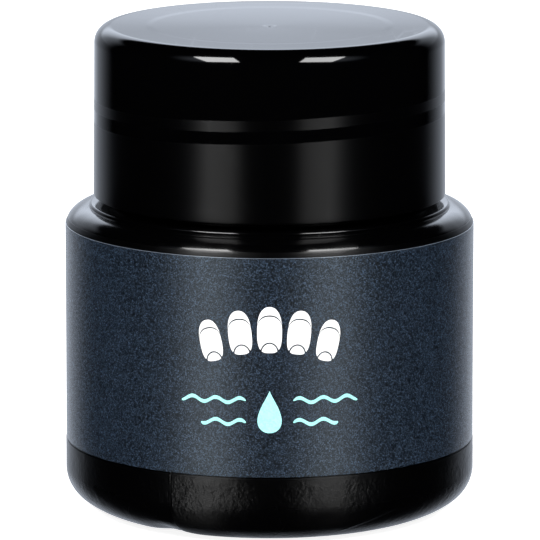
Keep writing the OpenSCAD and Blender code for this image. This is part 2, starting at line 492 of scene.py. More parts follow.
# %% Turning an outline
ON_AXIS = 1e-6
SHARP = 35


def new_piece(name, points, faces, sharp=SHARP):
    mesh = bpy.data.meshes.new(name)
    mesh.from_pydata(points, [], faces)
    mesh.shade_smooth()
    mesh.set_sharp_from_angle(angle=math.radians(sharp))
    piece = bpy.data.objects.new(name, mesh)
    bpy.context.scene.collection.objects.link(piece)
    print(name, len(mesh.polygons), "faces")
    return piece


def turned(name, line, shape, sharp=SHARP, turns=EVEN_TURNS):
    """A closed surface from an outline of (radius, height) points in mm."""
    points, faces, rows = [], [], []
    count = len(turns)
    for r, z in line:
        if r < ON_AXIS:
            rows.append([len(points)])
            points.append((0, 0, z * MM))
            continue
        rows.append(range(len(points), len(points) + count))
        for a in turns:
            rr, zz = shape(r, z, a)
            points.append((rr * MM * math.cos(a), rr * MM * math.sin(a), zz * MM))
    pairs = list(zip(rows, rows[1:]))
    if line[0][0] > ON_AXIS:
        pairs.append((rows[-1], rows[0]))
    for low, high in pairs:
        for k in range(count):
            n = (k + 1) % count
            if len(low) == 1:
                faces.append((low[0], high[n], high[k]))
            elif len(high) == 1:
                faces.append((low[k], low[n], high[0]))
            else:
                faces.append((low[k], low[n], high[n], high[k]))
    return new_piece(name, points, faces, sharp)


def dress(piece, body, slot, look, *nodes):
    """Gives a piece its look and its body, and hides the nodes it stands for. The slot is not used."""
    piece.data.materials.append(look)
    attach(piece, body)
    if nodes:
        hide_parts(*nodes)
    print(piece.name, "rides on", body, "with", len(look.node_tree.nodes), "nodes in", look.name)


# %% [markdown]
# The thread is a helical ridge. Swept as a piece of its own it would have to be joined to the
# wall. Its height depends only on how far a point lies from the helix, measured along the axis,
# so a point of the wall is simply pushed out by that much. Both threads climb 4.23 mm in a turn
# and fade at their ends.

# %% Thread
PITCH = 4.23
THREAD_TURNS = 1.5
THREAD_DEPTH = 1.0
THREAD_FOOT = 2.2
THREAD_CREST = 1.2
THREAD_END = math.radians(250)
THREAD_START = THREAD_END - THREAD_TURNS * 2 * math.pi
THREAD_FADE = math.radians(30)


def thread_height(z, a, start_z):
    """Height of the ridge at a point of the wall, in mm."""
    best = 0.0
    for lap in range(-2, 3):
        turn = a + 2 * math.pi * lap - THREAD_START
        whole = THREAD_TURNS * 2 * math.pi
        if not 0 <= turn <= whole:
            continue
        off = abs(z - start_z - PITCH * turn / (2 * math.pi))
        flank = (THREAD_FOOT - THREAD_CREST) / 2
        side = fade((THREAD_FOOT / 2 - off) / flank)
        end = min(1.0, turn / THREAD_FADE, (whole - turn) / THREAD_FADE)
        best = max(best, THREAD_DEPTH * end * side)
    return best


print("thread climbs", PITCH * THREAD_TURNS, "mm")

# %% [markdown]
# The jar is one hollow piece of black plastic. Its outline starts in the middle of the pushed-up
# base and runs over the standing ring, the large heel, the straight side, the rounded shoulder,
# the small ring at the neck's foot and the neck, then back down inside. A boolean of simple
# solids would leave hard edges, so the outline is drawn from arcs that touch.

# %% Jar outline
jar_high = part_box("jar")[1]
HEEL_R = jar_high.x / MM
RIM_Z = jar_high.z / MM
WALL = 1.2
PANEL_R = HEEL_R - 0.2
PANEL_Z, PANEL_EDGE = 10.0, 0.05
SHOULDER_Z = 43.6
SHOULDER_SIDE_R, SHOULDER_TOP_R, SHOULDER_TURN = 2.0, 3.55, 42
HEEL_SIDE_R, HEEL_FLOOR_R, HEEL_TURN = 4.8, 10.6, 55
STAND_W, PUSH_UP, PUSH_UP_W = 3.0, 1.6, 3.5
BASE_STEP, SLOPE_STEP, STAND_STEP, PANEL_STEP = 1.2, 0.4, 0.5, 2.4
HEEL_ARC_STEP, ARC_STEP = 1.5, 4
print("jar", round(2 * HEEL_R, 1), "mm across, rim at", round(RIM_Z, 1), "mm")


def body_line(d, coarse=1):
    """The outline of the body from the middle of the base to the shoulder, moved in by d."""
    heel_z = HEEL_SIDE_R * sine(HEEL_TURN) + HEEL_FLOOR_R * (1 - sine(HEEL_TURN))
    stand_r = HEEL_R - HEEL_SIDE_R * (1 - cosine(HEEL_TURN)) - HEEL_FLOOR_R * cosine(HEEL_TURN)
    top_z = SHOULDER_Z - SHOULDER_SIDE_R * sine(SHOULDER_TURN) - SHOULDER_TOP_R * (1 - sine(SHOULDER_TURN))
    side_x = PANEL_R - SHOULDER_SIDE_R
    grow = SHOULDER_SIDE_R - SHOULDER_TOP_R
    line = [(0, PUSH_UP + d)]
    line += run(line[-1], (stand_r - STAND_W - PUSH_UP_W, PUSH_UP + d), BASE_STEP * coarse)
    line += run(line[-1], (stand_r - STAND_W, d), SLOPE_STEP * coarse)
    line += run(line[-1], (stand_r, d), STAND_STEP * coarse)
    line += arc(stand_r, HEEL_FLOOR_R, HEEL_FLOOR_R - d, -90, -HEEL_TURN, HEEL_ARC_STEP * coarse)[1:]
    line += arc(HEEL_R - HEEL_SIDE_R, heel_z, HEEL_SIDE_R - d, -HEEL_TURN, 0, ARC_STEP * coarse)[1:]
    line += run(line[-1], (HEEL_R - d, PANEL_Z - PANEL_EDGE), SLOPE_STEP * coarse)
    line += [(PANEL_R - d, PANEL_Z)]
    line += run(line[-1], (PANEL_R - d, top_z), PANEL_STEP)
    line += arc(side_x, top_z, SHOULDER_SIDE_R - d, 0, SHOULDER_TURN, ARC_STEP * coarse)[1:]
    line += arc(side_x + grow * cosine(SHOULDER_TURN), top_z + grow * sine(SHOULDER_TURN),
                SHOULDER_TOP_R - d, SHOULDER_TURN, 90, ARC_STEP * coarse)[1:]
    return line


# %% Neck and bore
RING_R, RING_H, RING_EDGE_R, RING_FOOT = PANEL_R - 3.35, 0.6, 0.3, 0.12
NECK_R, NECK_WALL, NECK_FOOT, RIM_R, RIM_IN = 22.75, 1.25, 0.3, 0.4, 0.2
BORE_R = NECK_R - NECK_WALL
RING_Z = SHOULDER_Z + RING_H
NECK_THREAD_Z = 54.37
LEDGE_STEP, FOOT_STEP, THREAD_STEP, BORE_STEP, EDGE_ARC_STEP = 0.3, 0.5, 0.32, 2, 15
INSIDE_COARSE = 3

outer = body_line(0)
outside = set(outer)
outer += run(outer[-1], (RING_R + RING_FOOT, SHOULDER_Z), LEDGE_STEP)
outer += [(RING_R, SHOULDER_Z + RING_FOOT)]
outer += arc(RING_R - RING_EDGE_R, RING_Z - RING_EDGE_R, RING_EDGE_R, 0, 90, EDGE_ARC_STEP)
outer += run(outer[-1], (NECK_R + NECK_FOOT, RING_Z), FOOT_STEP) + [(NECK_R, RING_Z + NECK_FOOT)]
outer += run(outer[-1], (NECK_R, RIM_Z - RIM_R), THREAD_STEP)
outer += arc(NECK_R - RIM_R, RIM_Z - RIM_R, RIM_R, 0, 90, EDGE_ARC_STEP)[1:]
bore = [(BORE_R + RIM_IN, RIM_Z), (BORE_R, RIM_Z - RIM_IN)]
bore += run(bore[-1], (BORE_R, SHOULDER_Z - WALL), BORE_STEP)
inner = list(reversed(body_line(WALL, INSIDE_COARSE)))
print("jar outline:", len(outer + bore + inner), "points")

# %% [markdown]
# The jar is blow-moulded, so it carries the marks of its two mould halves: a fine raised line
# down both sides of the heel, a raised scar across the base, and a pinch with a small nick where
# the line turns under at the front left. Its skin also has slow waves. A bump texture could draw
# the line, but not the dent that the pinch leaves in the outline, so all of them are small moves
# of the points, and the points stand closer together beside that line.

# %% Jar shape
PARTING = math.radians(241.4)
SEAM_H, SEAM_W = 0.03, 0.1
SEAM_LOW, SEAM_LOW_FADE, LABEL_MIDDLE, SEAM_HIGH_FADE = 2.0, 2, 25.0, 3
SKIN_H, SKIN_SLOW, SKIN_FAST, SKIN_FAST_SHARE = 0.05, 0.16, 0.55, 0.3
SKIN_START, SKIN_END, SKIN_IN = 0.3, SHOULDER_Z + 0.05, PANEL_R - 5
PINCH_DEPTH, PINCH_W, PINCH_SIDE = 0.38, 2.4, -2.3
PINCH_TOP, PINCH_FADE, PINCH_IN = 2.8, 1.6, 11
NICK_DEPTH, NICK_W, NICK_SIDE, NICK_TOP = 0.3, 0.28, -0.7, 1.5
SCAR_H, SCAR_W, ON_FACE = 0.12, 0.35, 0.01
NECK_FROM, THREAD_TO = RING_Z + 0.8, RIM_Z - 1
FINE_START = PARTING - math.radians(5.5)
FINE_END = PARTING + math.radians(1.5)
FINE_STEP = math.radians(0.12)


def hump(off, wide):
    """A smooth bell of height 1."""
    return math.exp(-(off / wide) ** 2)


def jar_shape(r, z, a):
    off = a - PARTING
    side = r * math.sin(off)
    if z > NECK_FROM:
        if r >= NECK_R - ON_AXIS and z < THREAD_TO:
            return r + thread_height(z, a, NECK_THREAD_Z), z
        return r, z
    if (r, z) not in outside:
        return r, z
    if r > SKIN_IN and SKIN_START < z < SKIN_END:
        r += SEAM_H * hump(side, SEAM_W) * fade(min((z - SEAM_LOW) / SEAM_LOW_FADE,
                                                    (LABEL_MIDDLE - z) / SEAM_HIGH_FADE))
        p = Vector((r * math.cos(a), r * math.sin(a), z))
        r += SKIN_H * (noise.noise(p * SKIN_SLOW) + SKIN_FAST_SHARE * noise.noise(p * SKIN_FAST))
    if abs(z - PUSH_UP) < ON_FACE:
        z -= SCAR_H * hump(side, SCAR_W)
    if z < PINCH_TOP and r > PINCH_IN and math.cos(off) > 0:
        z += fade((PINCH_TOP - z) / PINCH_FADE) * PINCH_DEPTH * hump(side - PINCH_SIDE, PINCH_W)
        z += fade(NICK_TOP - z) * NICK_DEPTH * hump(side - NICK_SIDE, NICK_W)
    return r, z


jar_turns = packed_turns(FINE_START, FINE_END, FINE_STEP)
jar = turned("jar_shell", outer + bore + inner, jar_shape, turns=jar_turns)

# %% [markdown]
# The jar's plastic is black. Its side and heel are satin, its shoulder and neck are polished, and
# the satin thins out along a wavy edge near the floor. The heel has orange peel, which breaks the
# highlight into flecks, a crumpled patch right of the parting line and a slanted crease at the
# lower right. Separate materials would meet in hard lines, so these are masks in one material,
# and the masks steer its roughness and bump.

# %% Jar masks
POLISHED_Z, POLISHED_SOFT = 42.05, 0.12
SATIN_LOW, SATIN_FULL, SATIN_LEAST = 4.4, 7.4, 0.4
SATIN_WANDER, SATIN_SCALE = 2.2, 250
CRUMPLE_START, CRUMPLE_FULL, CRUMPLE_END, CRUMPLE_FRONT = 0.4, 5, 9, -8
CREASE_START, CREASE_END, CREASE_Z, CREASE_CLIMB = 8.0, 17.9, 1.05, 0.36
CREASE_W, CREASE_FADE_IN, CREASE_FADE_OUT, CREASE_FRONT = 0.3, 4, 0.4, -4


def satin_mask(tree, height):
    wavy = calc(tree, "SUBTRACT", noise_value(tree, place(tree), SATIN_SCALE), 0.5)
    wavy = plus(tree, height, times(tree, wavy, SATIN_WANDER * MM))
    low = mm_ramp(tree, wavy, SATIN_LOW, SATIN_FULL, SATIN_LEAST, 1.0)
    return times(tree, mm_ramp(tree, height, POLISHED_Z + POLISHED_SOFT, POLISHED_Z - POLISHED_SOFT), low)


def crumple_mask(tree, x, y):
    beside = plus(tree, times(tree, x, -math.sin(PARTING)), times(tree, y, math.cos(PARTING)))
    start = mm_ramp(tree, beside, 0.0, CRUMPLE_START)
    end = mm_ramp(tree, beside, CRUMPLE_END, CRUMPLE_FULL)
    return times(tree, start, end, mm_ramp(tree, y, 0.0, CRUMPLE_FRONT))


def crease_mask(tree, x, y, height):
    climb = plus(tree, times(tree, x, CREASE_CLIMB), (CREASE_Z - CREASE_START * CREASE_CLIMB) * MM)
    off = calc(tree, "ABSOLUTE", calc(tree, "SUBTRACT", height, climb))
    start = mm_ramp(tree, x, CREASE_START, CREASE_START + CREASE_FADE_IN)
    end = mm_ramp(tree, x, CREASE_END, CREASE_END - CREASE_FADE_OUT)
    return times(tree, mm_ramp(tree, off, CREASE_W, 0.0), start, end, mm_ramp(tree, y, 0.0, CREASE_FRONT))


# %% Jar plastic
BLACK = (0.0004, 0.0004, 0.0005, 1)
PEEL_END, PEEL_FULL = 10.5, 8.5
POLISHED_ROUGH, CRUMPLE_ROUGH, JAR_MARKS = 0.12, 0.12, 0.1
SATIN_ROUGH_LOW, SATIN_ROUGH_HIGH, ROUGHER_FROM, ROUGHER_TO = 0.36, 0.48, 20, 38
ROUGH_WANDER, ROUGH_SCALE = 0.02, 180
PEEL_RELIEF, FOLD_RELIEF, CREASE_RELIEF = 4.5, 5.0, 4.0


def jar_plastic():
    look, tree, shader = material("jar_plastic", Base_Color=BLACK, IOR=1.5, Specular_IOR_Level=0.4,
                                  Anisotropic=1.0, Anisotropic_Rotation=0.25,
                                  Coat_Weight=0.15, Coat_Roughness=0.13)
    upright_grain(tree, shader)
    x, y, height = split(tree, place(tree))
    satin = satin_mask(tree, height)
    heel = mm_ramp(tree, height, PEEL_END, PEEL_FULL)
    crumpled = times(tree, heel, crumple_mask(tree, x, y))
    satin_rough = mm_ramp(tree, height, ROUGHER_FROM, ROUGHER_TO, SATIN_ROUGH_LOW, SATIN_ROUGH_HIGH)
    dull = ramp(tree, satin, 0, 1, POLISHED_ROUGH, satin_rough, smooth=False)
    wander = noise_value(tree, place(tree), ROUGH_SCALE)
    wander = ramp(tree, wander, 0.3, 0.7, -ROUGH_WANDER, ROUGH_WANDER)
    marks = times(tree, use(tree, HAIRLINES, Spacing_mm=7.0, Width=0.015), JAR_MARKS)
    dull = plus(tree, dull, times(tree, crumpled, CRUMPLE_ROUGH), wander, marks)
    wire(tree, dull, shader.inputs["Roughness"])
    skin = times(tree, use(tree, WAVES, Wave_Size_mm=3.0, Peel_Size_mm=0.7, Peel_Share=0.35), satin)
    peel = times(tree, use(tree, WAVES, Wave_Size_mm=1.0, Peel_Size_mm=0.36, Peel_Share=0.4), heel)
    folds = times(tree, use(tree, WAVES, Wave_Size_mm=0.75, Peel_Size_mm=0.38, Peel_Share=0.5), crumpled)
    crease = crease_mask(tree, x, y, height)
    relief = plus(tree, skin, times(tree, peel, PEEL_RELIEF), times(tree, folds, FOLD_RELIEF),
                  times(tree, crease, CREASE_RELIEF))
    bump(tree, shader, relief, 0.03, 0.6)
    return look


dress(jar, "jar_body", "jar_plastic", jar_plastic(), "jar")

# %% [markdown]
# The label is a printed film wrapped round the straight side of the jar, with its two ends
# facing each other at the back. A flat strip with a bend modifier would do, but its cut edge
# matters: it is a little rounded and catches the softboxes as a thin bright line, and its top
# band is painted paler, partly the film's own pale cut and partly a painted highlight on that
# line. So the strip is swept round the jar from its own small section.

# %% Label
label_low, label_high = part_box("label")
LABEL_R = label_high.x / MM
LABEL_LOW = label_low.z / MM
LABEL_TOP = label_high.z / MM
LABEL_GAP = 3.0
LABEL_T = 0.12
LABEL_EDGE_R = 0.08
LABEL_STEPS = 358
LABEL_STEP, LABEL_ARC_STEP = 2, 22


def swept_film(name, section, gap):
    """A strip round the axis from an outline of (radius, height) points in mm, open at the back."""
    points, faces = [], []
    half_gap = gap / 2 / LABEL_R
    n = len(section)
    for k in range(LABEL_STEPS + 1):
        a = math.pi / 2 + half_gap + (2 * math.pi - 2 * half_gap) * k / LABEL_STEPS
        points += [(r * MM * math.cos(a), r * MM * math.sin(a), z * MM) for r, z in section]
    for k in range(LABEL_STEPS):
        for i in range(n):
            j = (i + 1) % n
            faces.append((k * n + j, (k + 1) * n + j, (k + 1) * n + i, k * n + i))
    faces.append(tuple(range(n)))
    faces.append(tuple(reversed(range(LABEL_STEPS * n, LABEL_STEPS * n + n))))
    return new_piece(name, points, faces)


edge_r = LABEL_R - LABEL_EDGE_R
section = [(LABEL_R - LABEL_T, LABEL_LOW)]
section += arc(edge_r, LABEL_LOW + LABEL_EDGE_R, LABEL_EDGE_R, -90, 0, LABEL_ARC_STEP)
section += run(section[-1], (LABEL_R, LABEL_TOP - LABEL_EDGE_R), LABEL_STEP)
section += arc(edge_r, LABEL_TOP - LABEL_EDGE_R, LABEL_EDGE_R, 0, 90, LABEL_ARC_STEP)[1:]
section += [(LABEL_R - LABEL_T, LABEL_TOP)]
label = swept_film("wrap_label", section, LABEL_GAP)
print("label", round(LABEL_TOP - LABEL_LOW, 1), "mm high")

# %% [markdown]
# The film is slate blue under a matt lacquer. Close up it is all flecks of an eighth of a
# millimetre, which a smooth noise would blur, so each fleck is a cell with its own chance value.
# The wide upright sheen of the lacquer is anisotropy turned by a quarter, and a soft coat
# brightens the sides.

# %% Label film
FILM_DARK, FILM_PALE = (0.0005, 0.001, 0.0025, 1), (0.038, 0.064, 0.106, 1)
FLECK_POWER = 3.0
FILM_ROUGH_DARK, FILM_ROUGH_PALE = 0.62, 0.38
# The paler colour of the cut edge is partly the film's own pale cut and partly a painted highlight.
CUT_PALE_AND_HIGHLIGHT, CUT_ROUGH = (0.10, 0.12, 0.15, 1), 0.28
CUT_START, CUT_FULL = LABEL_TOP - 0.09, LABEL_TOP - 0.04


def label_plastic():
    look, tree, shader = material("label_film", IOR=1.5, Specular_IOR_Level=0.8,
                                  Specular_Tint=(0.80, 0.92, 1.0, 1), Anisotropic=1.0,
                                  Anisotropic_Rotation=0.25, Coat_Weight=0.9, Coat_Roughness=0.27)
    upright_grain(tree, shader)
    fleck, grain = placed(tree, FLECKS, Size_mm=0.125, Grain_mm=0.15)
    cut_band_and_highlight = mm_ramp(tree, split(tree, place(tree))[2], CUT_START, CUT_FULL)
    slate = mix_colour(tree, calc(tree, "POWER", fleck, FLECK_POWER), FILM_DARK, FILM_PALE)
    # The top of the cut edge is painted paler: partly its own pale cut, partly a painted highlight on the
    # bright line.
    wire(tree, mix_colour(tree, cut_band_and_highlight, slate, CUT_PALE_AND_HIGHLIGHT), shader.inputs["Base Color"])
    rough = ramp(tree, fleck, 0.0, 1.0, FILM_ROUGH_DARK, FILM_ROUGH_PALE, smooth=False)
    wire(tree, mix_value(tree, cut_band_and_highlight, rough, CUT_ROUGH), shader.inputs["Roughness"])
    bump(tree, shader, grain, 0.03)
    return look


dress(label, "jar_body", "label_film", label_plastic(), "label")

# %% [markdown]
# The front of the label is screen printed in white and mint. Here the print is a plain motif of
# its own: five tipped nails in a fan, and a drop between ripples. An image would stretch and
# blur, so every shape is a small grid of points, laid on the label's curve as a film of ink with
# a real thickness and clean edges.

# %% Ink on a curve
INK_T = 0.02


def lay(u, v, r):
    """A point of the label's surface, u mm round from its front and v mm up."""
    a = u / LABEL_R
    return (r * MM * math.sin(a), -r * MM * math.cos(a), v * MM)


def between(left, right, low, high, columns=28, rows=4):
    """A grid between two curves, its columns closer together towards both ends."""
    grid = []
    for i in range(columns + 1):
        u = (left + right) / 2 - (right - left) / 2 * math.cos(math.pi * i / columns)
        grid.append([(u, low(u) + (high(u) - low(u)) * j / rows) for j in range(rows + 1)])
    return grid


def moved(grid, u, v, tilt):
    c, s = math.cos(tilt), math.sin(tilt)
    return [[(u + c * p - s * q, v + s * p + c * q) for p, q in column] for column in grid]


def ink(name, grids, look):
    """Closed films of ink, one for each grid of (u, v) points."""
    points, faces = [], []
    for grid in grids:
        base, m, n = len(points), len(grid), len(grid[0])
        for r in (LABEL_R + INK_T, LABEL_R - INK_T / 2):
            points += [lay(u, v, r) for column in grid for u, v in column]
        under = m * n
        for i in range(m - 1):
            for j in range(n - 1):
                k = base + i * n + j
                faces.append((k, k + n, k + n + 1, k + 1))
                faces.append((k + under + 1, k + under + n + 1, k + under + n, k + under))
        rim = [i * n for i in range(m)] + [(m - 1) * n + j for j in range(1, n)]
        rim += [i * n + n - 1 for i in range(m - 2, -1, -1)] + [j for j in range(n - 2, 0, -1)]
        for here, there in zip(rim, rim[1:] + rim[:1]):
            faces.append((base + here + under, base + there + under, base + there, base + here))
    dress(new_piece(name, points, faces), "jar_body", "label_film", look)


# %% [markdown]
# A nail is drawn between two rounded curves, one for its foot and one for its top, and is cut
# into a plate, a tip and a moon with thin gaps, as a stencil would be. The drop and the ripples
# follow sine curves. Outlines traced from points would do too, but a formula stays smooth when a
# size is changed.

# %% Nails
NAILS = 5
NAIL_W, NAIL_H = 3.45, 6.5
NAIL_STEP, NAIL_SHRINK = 4.15, 0.05
NAIL_TILT = math.radians(6)
FAN_Z, FAN_DROP = 31.2, 0.42
FOOT_POWER, TOP_POWER, MOON_POWER = 3.2, 2.3, 2.0
TIP_SHARE, TIP_GAP = 0.58, 0.2
MOON_W, MOON_H = 2.2, 1.3
TIP_REACH, MOON_REACH, LEAST_INK = 0.995, 0.97, 0.01


def rounded(half_w, half_h, power):
    """Half the height of a rounded tablet, as a function of the way across."""
    return lambda u: half_h * max(0.0, 1 - abs(u / half_w) ** power) ** (1 / power)


def nail(u, v, size, tilt):
    """A nail in three parts, the plate, its tip and its moon, with thin gaps between them."""
    half_w, half_h = NAIL_W * size / 2, NAIL_H * size / 2
    moon_w, moon_h = MOON_W * size / 2, MOON_H * size
    foot, top = rounded(half_w, half_h, FOOT_POWER), rounded(half_w, half_h, TOP_POWER)
    moon = rounded(moon_w, moon_h, MOON_POWER)
    gap_moon = rounded(moon_w + TIP_GAP, moon_h + TIP_GAP, MOON_POWER)
    lost = (TIP_GAP / (1 - TIP_SHARE) / half_h) ** TOP_POWER
    reach = half_w * (1 - lost) ** (1 / TOP_POWER) * TIP_REACH
    root = moon_w * MOON_REACH

    def plate_low(u):
        return max(-foot(u), gap_moon(u) - half_h)

    def root_high(u):
        return max(-foot(u) + LEAST_INK, moon(u) - half_h)

    parts = [between(-half_w, half_w, plate_low, lambda u: TIP_SHARE * top(u), 44),
             between(-reach, reach, lambda u: TIP_SHARE * top(u) + TIP_GAP, top),
             between(-root, root, lambda u: -foot(u), root_high, 20)]
    return [moved(part, u, v, tilt) for part in parts]


nail_grids = []
for i in range(NAILS):
    k = i - (NAILS - 1) / 2
    nail_grids += nail(NAIL_STEP * k, FAN_Z - FAN_DROP * k * k, 1 - NAIL_SHRINK * abs(k), -NAIL_TILT * k)
print("nails:", len(nail_grids), "shapes")

# %% Drop and ripples
DROP_Z, DROP_W, DROP_H = 19.6, 3.7, 6.0
DROP_ROWS, DROP_COLUMNS = 28, 6
DROP_FULL, DROP_POINT, DROP_TIP = 1.3, 1.5, 0.004
RIPPLE_T, RIPPLE_WAVE, RIPPLE_H, RIPPLE_END = 0.52, 3.4, 0.34, 14
RIPPLES = ((21.2, 3.3, 12.6), (18.1, 3.3, 9.7))


def drop(u, v):
    """A drop with its point up: rows from the round foot to the point, each from right to left."""
    grid = []
    for i in range(DROP_ROWS + 1):
        t = math.pi * (1 - i / DROP_ROWS)
        half = DROP_W / 2 * DROP_FULL * math.sin(t) * math.sin(t / 2) ** DROP_POINT
        half = max(DROP_TIP, half)
        z = v + DROP_H / 2 * math.cos(t)
        grid.append([(u + half * (1 - 2 * j / DROP_COLUMNS), z) for j in range(DROP_COLUMNS + 1)])
    return grid


def ripple(v, start, end):
    """A wavy line with round ends, outwards from the drop."""
    middle, half = (start + end) / 2, (end - start) / 2

    def line(u):
        return v + RIPPLE_H * math.sin(2 * math.pi * (abs(u) - start) / RIPPLE_WAVE)

    def thick(u):
        return RIPPLE_T / 2 * max(0.0, 1 - abs((abs(u) - middle) / half) ** RIPPLE_END) ** 0.5

    return between(start, end, lambda u: line(u) - thick(u), lambda u: line(u) + thick(u), 72, 1)


mint_grids = [drop(0, DROP_Z)]
for v, start, end in RIPPLES:
    line = ripple(v, start, end)
    mint_grids += [line, [[(-u, w) for u, w in column] for column in reversed(line)]]
print("drop and ripples:", len(mint_grids), "shapes")

# %% Inks
WHITE_INK = (0.86, 0.86, 0.85, 1), (0.93, 0.93, 0.92, 1)
MINT_INK = (0.30, 0.75, 0.72, 1), (0.38, 0.86, 0.82, 1)
INK_ROUGH_LOW, INK_ROUGH_HIGH = 0.42, 0.5


def ink_look(name, colours):
    """Opaque ink: nearly even, with the film's flecks just showing through."""
    look, tree, shader = material(name, IOR=1.5)
    fleck, grain = placed(tree, FLECKS, Size_mm=0.25, Grain_mm=0.25)
    wire(tree, mix_colour(tree, fleck, *colours), shader.inputs["Base Color"])
    rough = ramp(tree, fleck, 0.0, 1.0, INK_ROUGH_LOW, INK_ROUGH_HIGH)
    wire(tree, rough, shader.inputs["Roughness"])
    bump(tree, shader, grain, 0.01, 0.5)
    return look


ink("print_nails", nail_grids, ink_look("white_ink", WHITE_INK))
ink("print_drop_and_ripples", mint_grids, ink_look("mint_ink", MINT_INK))

# %% [markdown]
# The cap is one moulding: a skirt that narrows a little upwards, a rounded top edge, and a top
# that sinks towards its middle. The mould's insert left a shallow disc in the top, the gate a
# small mark at its centre, and the mould's edge a little flash at the skirt's foot. They could be
# bump, but the top mirrors the backdrop, so a real slope of a degree is what shades it. The
# inner thread fits the neck's.

# %% Cap outline
cap_low, cap_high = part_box("cap")
CAP_R = cap_high.x / MM
CAP_Z = cap_low.z / MM
CAP_TOP = cap_high.z / MM
CAP_DRAFT = 0.17
CAP_EDGE_R, CAP_FOOT_R = 2.4, 0.25
CAP_WALL = 1.0
CAP_TOP_T = 1.3
CAP_FILLET = 1.0
CAP_IN_R = CAP_R - CAP_WALL
CAP_FLAT_R = CAP_R - CAP_DRAFT - CAP_EDGE_R
CAP_THREAD_Z = 52.26
DISH_R = 17.1
DISH_DEPTH, DISH_STEP = 0.02, 1.0
TOP_SLOPE = 0.0175
GATE_R, GATE_DEPTH = 0.9, 0.1
NUB_R, NUB_H = 0.35, 0.12
TOP_RINGS = 110
SKIRT_STEP, CAP_EDGE_TURN, CAP_EDGE_STEP = 0.7, 88, 3
CEILING_STEP, FILLET_STEP, INNER_STEP = 2, 10, 0.22


def cap_top_z(r):
    """The top sinks towards its middle, with a shallow step where the mould's insert met it."""
    rim = TOP_SLOPE * (CAP_FLAT_R - max(r, DISH_R))
    bowl = TOP_SLOPE * max(0.0, DISH_R ** 2 - r ** 2) / (2 * DISH_R)
    step = DISH_DEPTH * fade((DISH_R - r) / DISH_STEP + 0.5)
    gate = GATE_DEPTH * max(0.0, 1 - (r / GATE_R) ** 2) - NUB_H * max(0.0, 1 - (r / NUB_R) ** 2)
    return CAP_TOP - rim - bowl - step - gate


skirt = arc(CAP_R - CAP_FOOT_R, CAP_Z + CAP_FOOT_R, CAP_FOOT_R, -90, 0, EDGE_ARC_STEP)
skirt += run(skirt[-1], (CAP_R - CAP_DRAFT, CAP_TOP - CAP_EDGE_R), SKIRT_STEP)
skirt += arc(CAP_FLAT_R, CAP_TOP - CAP_EDGE_R, CAP_EDGE_R, 0, CAP_EDGE_TURN, CAP_EDGE_STEP)[1:]
rings = [CAP_FLAT_R * (1 - i / TOP_RINGS) for i in range(TOP_RINGS)]
skirt += [(r, cap_top_z(r)) for r in rings] + [(0, cap_top_z(0))]
ceiling = CAP_TOP - CAP_TOP_T
fillet_r = CAP_IN_R - CAP_FILLET
inside = [(0, ceiling)] + run((0, ceiling), (fillet_r, ceiling), CEILING_STEP)
inside += list(reversed(arc(fillet_r, ceiling - CAP_FILLET, CAP_FILLET, 0, 90, FILLET_STEP)))[1:]
inside += run(inside[-1], (CAP_IN_R, CAP_Z + CAP_FOOT_R), INNER_STEP)
inside += [(CAP_IN_R + CAP_FOOT_R, CAP_Z)]
print("cap", round(2 * CAP_R, 1), "mm across")

# %% Cap shape
FLASH_H, FLASH_TOP = 0.09, CAP_Z + 0.3
FLASH_ROUND, FLASH_SLICE, FLASH_SCALE = 9, 3, 1.7
CAP_THREAD_FROM, CAP_THREAD_TO, ON_WALL = CAP_Z + 1, CAP_TOP - 3, 1e-3


def cap_shape(r, z, a):
    if z < FLASH_TOP:
        here = Vector((FLASH_ROUND * math.cos(a), FLASH_ROUND * math.sin(a), FLASH_SLICE))
        z += FLASH_H * max(0.0, noise.noise(here * FLASH_SCALE))
    if abs(r - CAP_IN_R) < ON_WALL and CAP_THREAD_FROM < z < CAP_THREAD_TO:
        return r - thread_height(z, a, CAP_THREAD_Z), z
    return r, z


cap = turned("screw_cap", inside + skirt, cap_shape)

# %% [markdown]
# The side of the cap has satin and polished bands. In front they climb as steeply as the thread
# inside, because they are its ghost: thick plastic shrinks more as it cools, and draws the skin
# off the mould's polish. Rings of their own material would end in steps, so the bands are masks
# from the height less a climb, which meets itself at the back. Dust and hairlines belong to a
# cap that is handled.

# %% Cap plastic
SATIN_HIGH, BAND_LOW, BAND_HIGH, BAND_SOFT = 11.4, 13.1, 14.7, 0.12
CAP_POLISHED, CAP_SATIN, CAP_MARKS = 0.06, 0.275, 0.07
DUST_GREY, DUST_ROUGH = (0.06, 0.06, 0.06, 1), 0.5


def band_mask(tree):
    x, y, z = split(tree, place(tree))
    climb = times(tree, x, PITCH / (2 * math.pi * CAP_R * MM))
    height = calc(tree, "SUBTRACT", times(tree, z, 1 / MM), CAP_Z)
    height = calc(tree, "SUBTRACT", height, climb)
    above = ramp(tree, height, BAND_LOW - BAND_SOFT, BAND_LOW + BAND_SOFT)
    band = times(tree, above, ramp(tree, height, BAND_HIGH + BAND_SOFT, BAND_HIGH - BAND_SOFT))
    return calc(tree, "MAXIMUM", band, ramp(tree, height, SATIN_HIGH + BAND_SOFT, SATIN_HIGH - BAND_SOFT))


